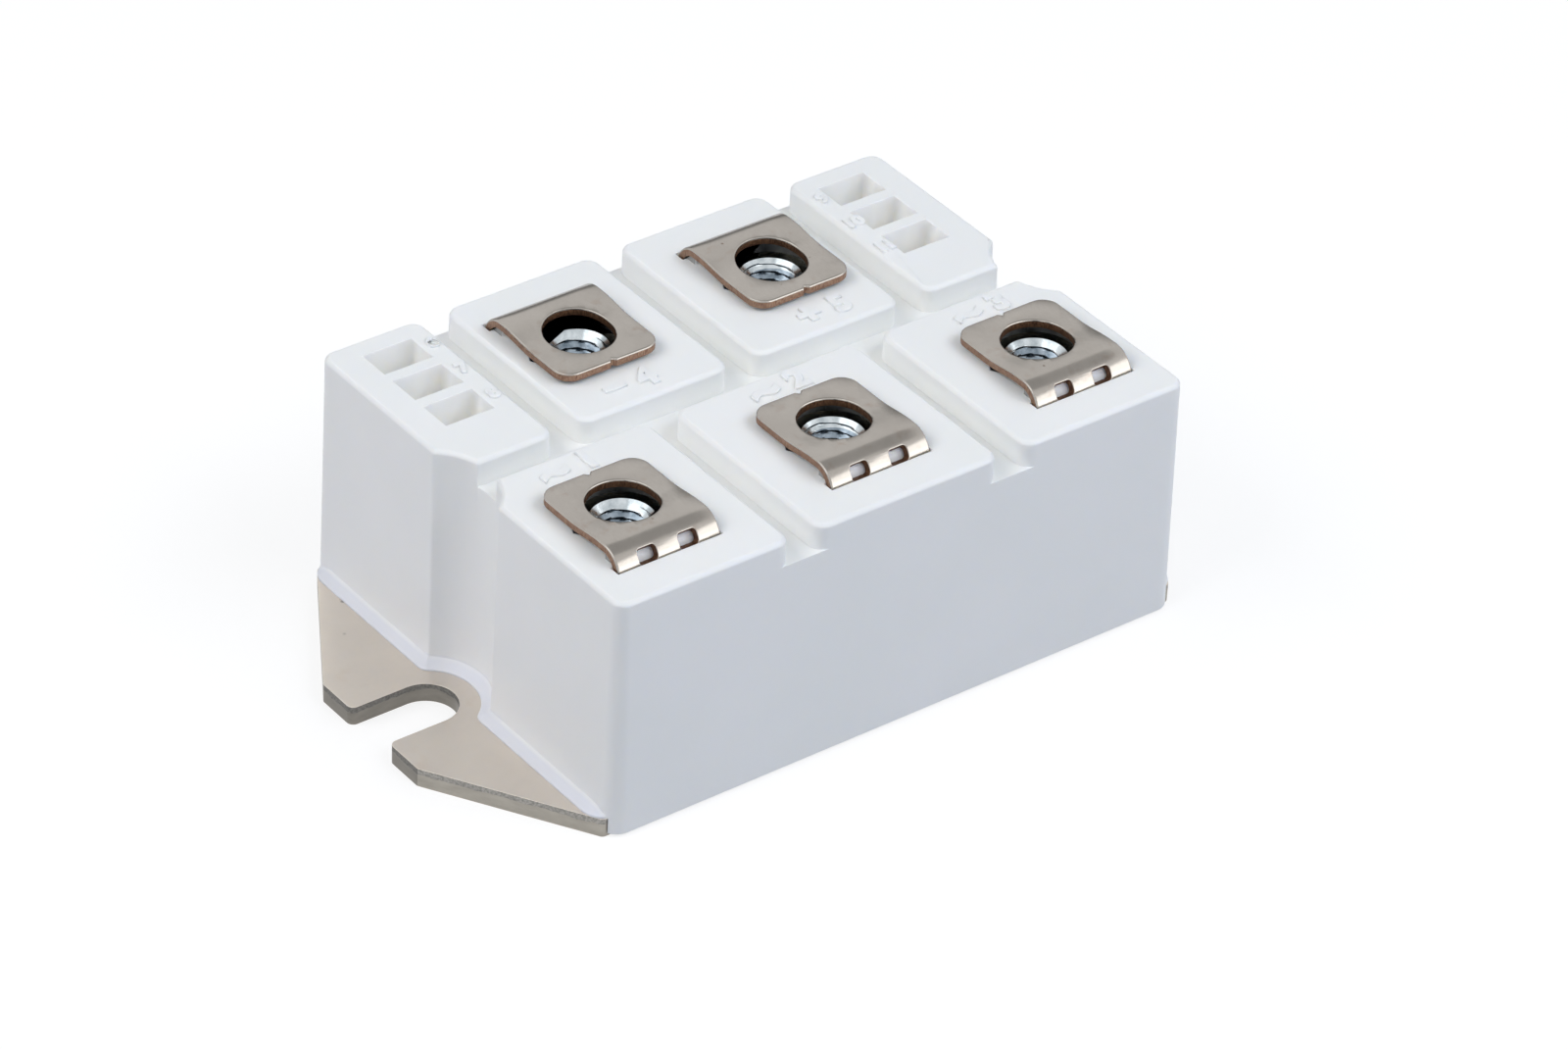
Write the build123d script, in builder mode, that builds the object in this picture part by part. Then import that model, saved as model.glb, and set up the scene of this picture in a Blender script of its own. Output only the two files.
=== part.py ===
"""Three-phase bridge rectifier module with screw terminals.

A white moulded housing is bonded to a nickel-plated copper base plate. Inside, a metallised ceramic
substrate carries six diode chips, which copper jumpers join to five copper terminals. Each terminal
comes up through a slot in the housing and is rolled over a captive nut.

Millimetres. The origin is the bottom centre of the base plate, X runs along the plate, +Z is up.
The three alternating-current terminals stand in the front row (-Y), the two direct-current
terminals in the rear row (+Y).
"""

import os
from math import atan, copysign, cos, degrees, pi, radians, sin, tan

from build123d import *

# Base plate: its reach is how far it goes on past the centre of each mounting slot
slot_pitch = 80.3
slot_width = 6.8
slot_mouth_radius = 0.8
plate_reach = 6.85
plate_thickness = 2.2
plate_end_width = 17.0
plate_shoulder_reach = 0.2
plate_corner_radius = 0.6

# Housing: its end walls stand back from the slots' centres, and every wall leans inwards by the draft
housing_setback = 4.0
housing_width = 53.6
housing_height = 28.4
housing_draft = 0.86
side_wall = 2.5
end_wall = 2.4
inner_corner_radius = 1.0
ceiling_height = 23.4
edge_break = 0.35
skirt_bottom = 0.4
skirt_wall = 1.0
plate_gap = 0.1
bond_thickness = 0.15
bond_inset = 0.4
foot_reach = 1.2
foot_lip = 0.2
foot_height = 0.75
foot_run_in = 0.05
foot_side_inset = 0.8
foot_corner_radius = 2.6

# Screwdriver recess over each mounting slot
scoop_radius = 6.8
scoop_wall = 2.2
scoop_edge_radius = 0.6

# Grooves between the terminal pads
groove_width = 3.2
groove_depth = 3.0
pad_corner_radius = 1.6
rear_groove_offset = 22.0

# Empty control-pin pockets at both ends of the rear row
pocket_length = 5.9
pocket_width = 4.0
pocket_pitch = 5.5
pocket_depth = 10.0
pocket_wall = 1.2
pocket_x = 29.15
pocket_setback = 10.55

# Terminals: their rows stand back from the housing's sides, and a reach is measured from the screw hole
ac_pitch = 26.2
dc_pitch = 24.6
terminal_setback = 13.2
tab_width = 12.4
tab_thickness = 0.9
tab_lift = 0.5
tab_rise = 0.45
tab_rise_start = 0.4
tab_rise_run = 3.4
tab_free_reach = 6.2
tab_leg_reach = 7.65
tab_corner_radius = 2.0
tab_roll_radius = 2.35
tab_swan_radius = 16.0
tab_hole_diameter = 7.4
tab_hole_stretch = 0.4
tab_nick_radius = 0.35
window_width = 2.25
window_spacing = 4.9
window_low_angle = 14.0
window_high_angle = 50.0
slot_clearance = 0.12
shoulder_drop = 3.0
leg_width = 5.0
leg_shift = 2.2
leg_bend_radius = 1.35
knee_height = 10.5
knee_offset = 2.6
foot_length = 4.0
rib_length = 11.8

# Captive nuts, size M6
nut_sides = 6
nut_across_flats = 10.0
nut_height = 5.0
nut_bore = 5.0
nut_countersink = 6.75
nut_washer_face = 9.0
nut_chamfer_angle = 30.0
nut_sink = 1.4
nut_clearance = 0.2
screw_well_diameter = 7.4
screw_well_depth = 3.6
well_wall = 1.5
well_floor = 1.2

# Circuit: solder, back copper, ceramic, tracks, chips and jumpers
solder_thickness = 0.15
copper_thickness = 0.3
ceramic_thickness = 0.63
substrate_end_gap = 0.65
substrate_side_gap = 3.8
copper_margin = 0.7
track_gap = 1.0
ac_track_depth = 19.5
minus_track_depth = 6.0
chip_size = 7.0
chip_thickness = 0.35
chip_offset = 4.6
chip_margin = 0.6
jumper_width = 3.2
jumper_thickness = 0.4
jumper_foot = 3.0
jumper_lift = 1.6
jumper_slope_run = 1.2
gel_depth = 7.0

# How near an edge or corner must lie to count as being on a line
on_line = 0.01

# Levels and places worked out from the sizes above
slot_centre = slot_pitch / 2
plate_length = slot_pitch + 2 * plate_reach
housing_length = slot_pitch - 2 * housing_setback
plate_top = plate_thickness
plate_width = housing_width - 2 * (skirt_wall + plate_gap)
plate_shoulder = housing_length / 2 + plate_shoulder_reach
scoop_places = ((slot_centre, 0), (-slot_centre, 0))
groove_floor = housing_height - groove_depth
front_groove_offset = ac_pitch / 2
pocket_y = housing_width / 2 - pocket_setback
terminal_offset = housing_width / 2 - terminal_setback
terminal_places = {
    "ac_1": (-ac_pitch, -terminal_offset),
    "ac_2": (0.0, -terminal_offset),
    "ac_3": (ac_pitch, -terminal_offset),
    "minus": (-dc_pitch / 2, terminal_offset),
    "plus": (dc_pitch / 2, terminal_offset),
}
leg_line = terminal_offset + tab_leg_reach
tab_level = housing_height + tab_lift + tab_thickness / 2
crest_level = tab_level + tab_rise
roll_line = leg_line - tab_roll_radius
roll_level = crest_level - tab_roll_radius
rib_radius = tab_roll_radius - tab_thickness / 2 - slot_clearance
shoulder_level = ceiling_height - shoulder_drop
nut_seat = housing_height - nut_sink - nut_height
nut_pocket_flats = nut_across_flats + 2 * nut_clearance
well_bottom = nut_seat - screw_well_depth - well_floor
backing_level = plate_top + solder_thickness
ceramic_level = backing_level + copper_thickness
track_level = ceramic_level + ceramic_thickness
chip_level = track_level + copper_thickness
foot_level = chip_level + tab_thickness / 2
substrate_length = 2 * (slot_centre - scoop_radius - scoop_wall - substrate_end_gap)
substrate_width = housing_width - 2 * (side_wall + substrate_side_gap)
copper_length = substrate_length - 2 * copper_margin
copper_width = substrate_width - 2 * copper_margin
copper_front = -copper_width / 2
minus_track_front = copper_front + ac_track_depth + track_gap
plus_track_front = minus_track_front + minus_track_depth + track_gap
plus_track_depth = copper_width / 2 - plus_track_front
ac_track_width = (copper_length - 2 * track_gap) / 3
ac_track_pitch = ac_track_width + track_gap
upper_chip_y = plus_track_front + chip_margin + chip_size / 2
lower_chip_y = copper_front + ac_track_depth / 2
upper_landing_y = copper_front + ac_track_depth - chip_margin - jumper_foot / 2
lower_landing_y = minus_track_front + minus_track_depth / 2

finished = []


def finish(builder, label):
    """Labels a finished piece and keeps it for export."""
    builder.part.label = label
    finished.append(builder.part)


def lean(height):
    """How far a wall has leaned in at this height above its foot."""
    return (height - skirt_bottom) * tan(radians(housing_draft))


def pad_places():
    """Centre and size of each raised pad, at the level of the groove floor."""
    half_length = housing_length / 2 - lean(groove_floor)
    half_width = housing_width / 2 - lean(groove_floor)
    rows = (
        (-half_width, -groove_width / 2, (-front_groove_offset, front_groove_offset)),
        (groove_width / 2, half_width, (-rear_groove_offset, 0.0, rear_groove_offset)),
    )
    for near, far, splits in rows:
        starts = [-half_length] + [split + groove_width / 2 for split in splits]
        ends = [split - groove_width / 2 for split in splits] + [half_length]
        for start, end in zip(starts, ends):
            yield ((start + end) / 2, (near + far) / 2), (end - start, far - near)


# Base plate: punched copper, its ends narrowing to an open mounting slot
with BuildPart() as base_plate:
    with BuildSketch() as plate_outline:
        half = plate_length / 2
        with BuildLine():
            Polyline(
                (half, plate_end_width / 2),
                (plate_shoulder, plate_width / 2),
                (-plate_shoulder, plate_width / 2),
                (-half, plate_end_width / 2),
                (-half, -plate_end_width / 2),
                (-plate_shoulder, -plate_width / 2),
                (plate_shoulder, -plate_width / 2),
                (half, -plate_end_width / 2),
                close=True,
            )
        make_face()
        fillet(plate_outline.vertices(), plate_corner_radius)
    extrude(amount=plate_thickness)
    with BuildSketch():
        with Locations(*scoop_places):
            Circle(slot_width / 2)
        with Locations((slot_centre + plate_reach / 2, 0), (-slot_centre - plate_reach / 2, 0)):
            Rectangle(plate_reach, slot_width)
    extrude(amount=plate_thickness, mode=Mode.SUBTRACT)
    mouth_edges = [
        edge
        for edge in base_plate.edges().filter_by(Axis.Z)
        if abs(edge.center().Y) < slot_width / 2 + on_line
        and abs(edge.center().X) > plate_length / 2 - on_line
    ]
    fillet(mouth_edges, slot_mouth_radius)
finish(base_plate, "base_plate")

# Housing foot: a bevelled flange that stands on the plate along each end wall
with BuildPart() as housing_foot:
    with BuildSketch(Plane.XY.offset(plate_top)) as foot_outline:
        Rectangle(housing_length + 2 * foot_reach, housing_width - 2 * foot_side_inset)
        fillet(foot_outline.vertices(), foot_corner_radius)
        with Locations(*scoop_places):
            Circle(scoop_radius - foot_reach, mode=Mode.SUBTRACT)
        recess_corners = [v for v in foot_outline.vertices() if abs(v.Y) < scoop_radius]
        fillet(recess_corners, foot_reach + plate_gap)
    extrude(amount=foot_lip)
    with BuildSketch(Plane.XY.offset(plate_top + foot_lip)):
        add(foot_outline.sketch)
    extrude(amount=foot_height + foot_run_in, taper=degrees(atan(foot_reach / foot_height)))

# Housing: one moulding, open below
with BuildPart() as housing:
    with BuildSketch(Plane.XY.offset(skirt_bottom)):
        RectangleRounded(housing_length, housing_width, pad_corner_radius + lean(groove_floor))
    extrude(amount=groove_floor - skirt_bottom, taper=housing_draft)
    with BuildSketch(Plane.XY.offset(groove_floor)) as pads:
        for place, size in pad_places():
            with Locations(place):
                Rectangle(*size)
        fillet(pads.vertices(), pad_corner_radius)
    extrude(amount=groove_depth, taper=housing_draft)

    # Scoop at each end, with its sharp edges eased
    with BuildSketch(Plane.XY.offset(skirt_bottom)):
        with Locations(*scoop_places):
            Circle(scoop_radius)
    extrude(amount=housing_height, taper=-housing_draft, mode=Mode.SUBTRACT)
    scoop_edges = [
        edge
        for edge in housing.edges()
        if abs(edge.center().X) > housing_length / 2 - end_wall / 2
        and abs(edge.center().Y) < scoop_radius
        and edge.bounding_box().size.Z > groove_depth / 2
    ]
    fillet(scoop_edges, scoop_edge_radius)
    pad_tops = housing.faces().filter_by(Axis.Z).group_by(Axis.Z)[-1]
    chamfer([edge for top in pad_tops for edge in top.outer_wire().edges()], edge_break)
    add(housing_foot.part)

    # Room for the plate below, the hollow above it, and a channel for adhesive round the hollow
    with BuildSketch():
        add(plate_outline.sketch)
        offset(amount=plate_gap, kind=Kind.INTERSECTION)
    extrude(amount=plate_top, mode=Mode.SUBTRACT)
    with BuildSketch(Plane.XY.offset(plate_top)) as hollow:
        RectangleRounded(
            housing_length - 2 * end_wall,
            housing_width - 2 * side_wall,
            inner_corner_radius,
        )
        with Locations(*scoop_places):
            Circle(scoop_radius + scoop_wall, mode=Mode.SUBTRACT)
    extrude(amount=ceiling_height - plate_top, mode=Mode.SUBTRACT)
    with BuildSketch(Plane.XY.offset(plate_top)) as bond_channel:
        add(foot_outline.sketch)
        offset(amount=-bond_inset)
        with BuildSketch(mode=Mode.PRIVATE) as bond_limit:
            add(plate_outline.sketch)
            offset(amount=-bond_inset)
        add(bond_limit.sketch, mode=Mode.INTERSECT)
        add(hollow.sketch, mode=Mode.SUBTRACT)
    extrude(amount=bond_thickness, mode=Mode.SUBTRACT)

    # Nut wells and pin pockets hang from the ceiling
    with BuildSketch(Plane.XY.offset(well_bottom)):
        with Locations(*terminal_places.values()):
            RegularPolygon(nut_pocket_flats / 2 + well_wall, nut_sides, major_radius=False)
    extrude(amount=ceiling_height - well_bottom)
    pocket_row = 2 * pocket_pitch + pocket_width + 2 * pocket_wall
    pocket_bottom = housing_height - pocket_depth
    with BuildSketch(Plane.XY.offset(pocket_bottom - pocket_wall)):
        with Locations((pocket_x, pocket_y), (-pocket_x, pocket_y)):
            Rectangle(pocket_length + 2 * pocket_wall, pocket_row)
    extrude(amount=ceiling_height - pocket_bottom + pocket_wall)
    with BuildSketch(Plane.XY.offset(pocket_bottom)):
        with Locations((pocket_x, pocket_y), (-pocket_x, pocket_y)):
            with GridLocations(0, pocket_pitch, 1, 3):
                Rectangle(pocket_length, pocket_width)
    extrude(amount=pocket_depth, mode=Mode.SUBTRACT)
    with BuildSketch(Plane.XY.offset(nut_seat)):
        with Locations(*terminal_places.values()):
            RegularPolygon(nut_pocket_flats / 2, nut_sides, major_radius=False)
    extrude(amount=housing_height - nut_seat, mode=Mode.SUBTRACT)
    with BuildSketch(Plane.XY.offset(nut_seat - screw_well_depth)):
        with Locations(*terminal_places.values()):
            Circle(screw_well_diameter / 2)
    extrude(amount=screw_well_depth, mode=Mode.SUBTRACT)

    # Rib behind each leg, rounded like the roll of the strip that is bent over it
    for x, y in terminal_places.values():
        with BuildSketch(Plane.YZ.offset(x)):
            with Locations((copysign(roll_line + rib_radius / 2, y), housing_height)):
                Rectangle(rib_radius, 2 * (roll_level + rib_radius - housing_height))
        extrude(amount=rib_length / 2, both=True)
        with BuildSketch(Plane.YZ.offset(x)):
            reach = tab_roll_radius / 2
            with Locations((copysign(roll_line + reach, y), roll_level + reach)):
                Rectangle(tab_roll_radius, tab_roll_radius)
            with Locations((copysign(roll_line, y), roll_level)):
                Circle(rib_radius, mode=Mode.SUBTRACT)
        extrude(amount=tab_width / 2 + slot_clearance, both=True, mode=Mode.SUBTRACT)

    # Slot for each terminal's leg
    with BuildSketch(Plane.XY.offset(ceiling_height)):
        for x, y in terminal_places.values():
            with Locations((x, leg_line if y > 0 else -leg_line)):
                Rectangle(tab_width + 2 * slot_clearance, tab_thickness + 2 * slot_clearance)
    extrude(amount=housing_height - ceiling_height, mode=Mode.SUBTRACT)
finish(housing, "housing")

# Adhesive film in the channel under the housing's rim
with BuildPart() as bond:
    with BuildSketch(Plane.XY.offset(plate_top)):
        add(bond_channel.sketch)
    extrude(amount=bond_thickness)
finish(bond, "housing_bond")

# Substrate: solder layer, back copper and ceramic
with BuildPart() as solder:
    with BuildSketch(Plane.XY.offset(plate_top)):
        Rectangle(copper_length, copper_width)
    extrude(amount=solder_thickness)
finish(solder, "substrate_solder")

with BuildPart() as backing:
    with BuildSketch(Plane.XY.offset(backing_level)):
        Rectangle(copper_length, copper_width)
    extrude(amount=copper_thickness)
finish(backing, "substrate_backing")

with BuildPart() as ceramic:
    with BuildSketch(Plane.XY.offset(ceramic_level)):
        Rectangle(substrate_length, substrate_width)
    extrude(amount=ceramic_thickness)
finish(ceramic, "substrate_ceramic")

# Copper tracks: three islands in front, one bar each for minus and plus behind them
tracks = {
    "track_minus": (0.0, copper_length, minus_track_front, minus_track_depth),
    "track_plus": (0.0, copper_length, plus_track_front, plus_track_depth),
}
for phase in (1, 2, 3):
    tracks[f"track_ac_{phase}"] = (
        (phase - 2) * ac_track_pitch,
        ac_track_width,
        copper_front,
        ac_track_depth,
    )
for name, (centre, length, front, depth) in tracks.items():
    with BuildPart() as track:
        with BuildSketch(Plane.XY.offset(track_level)):
            with Locations((centre, front + depth / 2)):
                Rectangle(length, depth)
        extrude(amount=copper_thickness)
    finish(track, name)


def make_jumper(chip_y, landing_y):
    """Copper strip from the top of a chip down to a track, arched over what lies between."""
    chip_pad = chip_level + chip_thickness + jumper_thickness / 2
    landing = chip_level + jumper_thickness / 2
    arch = chip_pad + jumper_lift
    away = 1 if landing_y > chip_y else -1
    half_foot = away * jumper_foot / 2
    run = away * jumper_slope_run
    with BuildPart() as jumper:
        with BuildSketch(Plane.YZ):
            with BuildLine() as route:
                Polyline(
                    (chip_y - half_foot, chip_pad),
                    (chip_y + half_foot, chip_pad),
                    (chip_y + half_foot + run, arch),
                    (landing_y - half_foot - run, arch),
                    (landing_y - half_foot, landing),
                    (landing_y + half_foot, landing),
                )
            trace(route.line, line_width=jumper_thickness)
        extrude(amount=jumper_width / 2, both=True)
    return jumper.part


# Diode chips: the upper ones stand on the plus track, the lower ones on their own phase's island
upper_jumper = make_jumper(upper_chip_y, upper_landing_y)
lower_jumper = make_jumper(lower_chip_y, lower_landing_y)
for phase in (1, 2, 3):
    island_x = (phase - 2) * ac_track_pitch
    for bank, chip_x, chip_y, shape in (
        ("upper", island_x + chip_offset, upper_chip_y, upper_jumper),
        ("lower", island_x - chip_offset, lower_chip_y, lower_jumper),
    ):
        with BuildPart() as chip:
            with BuildSketch(Plane.XY.offset(chip_level)):
                with Locations((chip_x, chip_y)):
                    Rectangle(chip_size, chip_size)
            extrude(amount=chip_thickness)
        finish(chip, f"diode_{bank}_{phase}")
        with BuildPart() as jumper:
            with Locations((chip_x, 0, 0)):
                add(shape)
        finish(jumper, f"jumper_{bank}_{phase}")


def make_terminal(side, knee, foot_end, shift):
    """Terminal at X = 0 on one side (-1 front, 1 rear), its leg bent at the knee points."""
    free_end = terminal_offset - tab_free_reach
    rise_start = terminal_offset + tab_rise_start
    route = [
        (free_end, tab_level),
        (rise_start, tab_level),
        (rise_start + tab_rise_run, crest_level),
        (leg_line, crest_level),
        *knee,
        (foot_end, foot_level),
    ]
    radii = [tab_swan_radius, tab_swan_radius, tab_roll_radius] + [leg_bend_radius] * len(knee)
    with BuildPart() as terminal:
        with BuildSketch(Plane.YZ):
            with BuildLine() as middle:
                FilletPolyline(*[(side * across, height) for across, height in route], radius=radii)
            trace(middle.line, line_width=tab_thickness)
        extrude(amount=tab_width / 2, both=True)

        # Narrow leg below the shoulders
        trim = tab_width + 2 * abs(shift)
        for direction in (-1, 1):
            edge_x = shift + direction * (leg_width + trim) / 2
            with BuildSketch(Plane.XY.offset(foot_level - tab_thickness)):
                with Locations((edge_x, side * leg_line / 2)):
                    Rectangle(trim, 2 * leg_line)
            extrude(amount=shoulder_level - foot_level + tab_thickness, mode=Mode.SUBTRACT)

        # Screw hole, rounded free corners and the small nick between them
        with BuildSketch(Plane.XY.offset(housing_height)):
            with Locations((0, side * terminal_offset)):
                SlotCenterToCenter(tab_hole_stretch, tab_hole_diameter, rotation=90)
            with Locations((0, side * free_end)):
                Circle(tab_nick_radius)
        extrude(amount=tab_level + tab_rise + tab_thickness - housing_height, mode=Mode.SUBTRACT)
        free_corners = [
            edge
            for edge in terminal.edges().filter_by(Axis.Z)
            if abs(abs(edge.center().Y) - free_end) < on_line
            and abs(edge.center().X) > tab_width / 2 - on_line
        ]
        fillet(free_corners, tab_corner_radius)

        # Two windows punched through the outside of the roll
        wedge = [(side * roll_line, roll_level)]
        for angle in (window_low_angle, window_high_angle):
            reach = 2 * tab_roll_radius
            across = roll_line + reach * cos(radians(angle))
            wedge.append((side * across, roll_level + reach * sin(radians(angle))))
        for window_x in (-window_spacing / 2, window_spacing / 2):
            with BuildSketch(Plane.YZ.offset(window_x)):
                Polygon(*wedge, align=None)
            extrude(amount=window_width / 2, both=True, mode=Mode.SUBTRACT)
    return terminal.part


foot_line = leg_line - knee_offset
short_knee = [
    (leg_line, knee_height + knee_offset),
    (foot_line, knee_height),
    (foot_line, foot_level),
]
front_terminal = make_terminal(-1, short_knee, foot_line - foot_length, 0.0)
plus_terminal = make_terminal(1, short_knee, foot_line - foot_length, leg_shift)
far_line = lower_landing_y + jumper_foot / 2 + tab_thickness / 2
long_knee = [(leg_line, knee_height), (far_line, knee_height), (far_line, foot_level)]
minus_terminal = make_terminal(1, long_knee, far_line - foot_length, leg_shift)
terminal_shapes = {"plus": plus_terminal, "minus": minus_terminal}
for name, (x, y) in terminal_places.items():
    with BuildPart() as terminal:
        with Locations((x, 0, 0)):
            add(terminal_shapes.get(name, front_terminal))
    finish(terminal, f"terminal_{name}")

# Hexagon nut, chamfered and countersunk on its upper face, with two corners along X
with BuildPart() as nut_blank:
    corner = nut_across_flats / 2 / cos(pi / nut_sides)
    bevel = (corner - nut_washer_face / 2) * tan(radians(nut_chamfer_angle))
    sink = (nut_countersink - nut_bore) / 2
    with BuildSketch(Plane.XZ):
        with BuildLine():
            Polyline(
                (nut_bore / 2, 0),
                (corner, 0),
                (corner, nut_height - bevel),
                (nut_washer_face / 2, nut_height),
                (nut_countersink / 2, nut_height),
                (nut_bore / 2, nut_height - sink),
                close=True,
            )
        make_face()
    revolve(axis=Axis.Z)
    with BuildSketch():
        RegularPolygon(nut_across_flats / 2, nut_sides, major_radius=False)
    extrude(amount=nut_height, mode=Mode.INTERSECT)
for name, (x, y) in terminal_places.items():
    with BuildPart() as nut:
        with Locations((x, y, nut_seat)):
            add(nut_blank.part)
    finish(nut, f"nut_{name}")

# Silicone gel poured over the circuit
with BuildPart() as gel:
    with BuildSketch(Plane.XY.offset(plate_top)):
        add(hollow.sketch)
    extrude(amount=gel_depth)
    for piece in finished:
        add(piece, mode=Mode.SUBTRACT)
finish(gel, "silicone_gel")

os.makedirs("parts", exist_ok=True)
for piece in finished:
    export_step(piece, f"parts/{piece.label}.step")
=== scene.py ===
"""Three-phase bridge rectifier module, dressed for a studio picture.

The sections follow the module as it is put together, from the plate up: circuit, gel, housing,
nuts, and the terminals rolled over them. Sizes are in millimetres, and mm turns them into metres.
"""

from math import cos, dist, pi, radians, sin, tan

import bmesh
import bpy
from mathutils import Matrix, Vector


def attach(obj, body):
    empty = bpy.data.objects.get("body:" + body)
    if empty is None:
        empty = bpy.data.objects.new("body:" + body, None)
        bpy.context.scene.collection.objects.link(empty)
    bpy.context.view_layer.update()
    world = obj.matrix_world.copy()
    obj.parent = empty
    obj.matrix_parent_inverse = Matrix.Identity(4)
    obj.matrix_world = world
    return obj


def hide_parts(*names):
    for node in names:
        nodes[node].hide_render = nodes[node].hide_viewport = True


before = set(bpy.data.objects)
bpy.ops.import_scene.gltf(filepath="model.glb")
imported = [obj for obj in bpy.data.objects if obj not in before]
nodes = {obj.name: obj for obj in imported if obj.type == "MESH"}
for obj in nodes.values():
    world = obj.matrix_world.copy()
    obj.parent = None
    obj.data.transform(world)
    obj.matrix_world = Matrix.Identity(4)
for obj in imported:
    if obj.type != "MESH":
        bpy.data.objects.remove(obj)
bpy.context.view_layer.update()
collection = bpy.context.scene.collection
mm = 0.001


# Base plate
# A flat plate of copper with dull nickel plating. It is punched from strip, so its edges are torn
# in their upper part and smooth below, and each end has an open slot for a mounting screw.
plate_ease = 0.03
smooth_cut = 1.4
slot_reach = 4.5


def eased_copy(node, name, ease):
    """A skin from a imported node, each sharp edge rounded by what ease says of its middle."""
    skin = bmesh.new()
    skin.from_mesh(nodes[node].data)
    bmesh.ops.remove_doubles(skin, verts=skin.verts, dist=0.0005 * mm)
    bmesh.ops.dissolve_limit(skin, angle_limit=radians(0.6), verts=skin.verts, edges=skin.edges)
    widths = skin.edges.layers.float.new("bevel_weight_edge")
    for edge in skin.edges:
        if edge.calc_face_angle(0.0) > radians(28):
            middle = (edge.verts[0].co + edge.verts[1].co) / 2 / mm
            edge[widths] = ease(middle)
            edge.smooth = edge[widths] > 0
    mesh = bpy.data.meshes.new(name)
    skin.to_mesh(mesh)
    skin.free()
    piece = bpy.data.objects.new(name, mesh)
    collection.objects.link(piece)
    for face in mesh.polygons:
        face.use_smooth = True
    rounding = piece.modifiers.new("Rounded edges", "BEVEL")
    rounding.limit_method = "WEIGHT"
    rounding.width = mm
    rounding.segments = 3
    rounding.use_clamp_overlap = False
    flatness = piece.modifiers.new("Flat faces stay flat", "WEIGHTED_NORMAL")
    flatness.keep_sharp = True
    return piece


def finish_piece(piece, slot, *replaced):
    """Fixes a finished piece to the module, and hides the imported parts it replaces."""
    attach(piece, "root")
    if replaced:
        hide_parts(*replaced)


def new_material(name, colour, metallic, roughness):
    """A material with its shader, the object's coordinates and its node tree."""
    material = bpy.data.materials.new(name)
    material.use_nodes = True
    tree = material.node_tree
    shader = tree.nodes["Principled BSDF"]
    shader.inputs["Base Color"].default_value = (*colour, 1)
    shader.inputs["Metallic"].default_value = metallic
    shader.inputs["Roughness"].default_value = roughness
    place = tree.nodes.new("ShaderNodeTexCoord").outputs["Object"]
    return material, shader, place, tree


def axis(tree, place, letter):
    """One coordinate of a place."""
    split = tree.nodes.new("ShaderNodeSeparateXYZ")
    tree.links.new(place, split.inputs["Vector"])
    return split.outputs[letter]


def calculated(tree, operation, *values):
    """The result of a Math node on values that are sockets or floats."""
    node = tree.nodes.new("ShaderNodeMath")
    node.operation = operation
    for socket, value in zip(node.inputs, values):
        if isinstance(value, float):
            socket.default_value = value
        else:
            tree.links.new(value, socket)
    return node.outputs["Value"]


def in_steps(tree, place, size, stretch=(1, 1, 1)):
    """A place counted in steps of a size in millimetres, longer along the stretched axes."""
    steps = tree.nodes.new("ShaderNodeMapping")
    steps.inputs["Scale"].default_value = [1 / (size * mm * longer) for longer in stretch]
    tree.links.new(place, steps.inputs["Vector"])
    return steps.outputs["Vector"]


def noise(tree, place, size, detail, stretch=(1, 1, 1)):
    """Noise with features of about this size in millimetres, stretched along the axes."""
    cloud = tree.nodes.new("ShaderNodeTexNoise")
    cloud.inputs["Scale"].default_value = 1.0
    cloud.inputs["Detail"].default_value = detail
    tree.links.new(in_steps(tree, place, size, stretch), cloud.inputs["Vector"])
    return cloud.outputs["Fac"]


def between(tree, value, low, high, start=0.0, end=1.0):
    """A value taken from one range to another, and held at its ends."""
    ramp = tree.nodes.new("ShaderNodeMapRange")
    limits = {"From Min": low, "From Max": high, "To Min": start, "To Max": end}
    for socket, number in limits.items():
        ramp.inputs[socket].default_value = number
    tree.links.new(value, ramp.inputs["Value"])
    return ramp.outputs["Result"]


def blended(tree, share, first, second):
    """Two colours, each a socket or a tuple, mixed by a share."""
    mix = tree.nodes.new("ShaderNodeMix")
    mix.data_type = "RGBA"
    tree.links.new(share, mix.inputs["Factor"])
    for socket, colour in ((mix.inputs[6], first), (mix.inputs[7], second)):
        if isinstance(colour, tuple):
            socket.default_value = (*colour, 1)
        else:
            tree.links.new(colour, socket)
    return mix.outputs[2]


def roughened(tree, shader, height, depth):
    """Bumps of a depth in millimetres on a shader."""
    bump = tree.nodes.new("ShaderNodeBump")
    bump.inputs["Strength"].default_value = 1.0
    bump.inputs["Distance"].default_value = depth * mm
    tree.links.new(height, bump.inputs["Height"])
    tree.links.new(bump.outputs["Normal"], shader.inputs["Normal"])


def speckles(tree, place, size, share):
    """Scattered spots: 1 in a spot, 0 elsewhere. This share of the cells has one."""
    cells = tree.nodes.new("ShaderNodeTexVoronoi")
    cells.inputs["Scale"].default_value = 1.0
    tree.links.new(in_steps(tree, place, size), cells.inputs["Vector"])
    near = between(tree, cells.outputs["Distance"], 0.05, 0.16, 1.0, 0.0)
    picked = calculated(tree, "LESS_THAN", cells.outputs["Color"], share)
    return calculated(tree, "MULTIPLY", near, picked)


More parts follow.
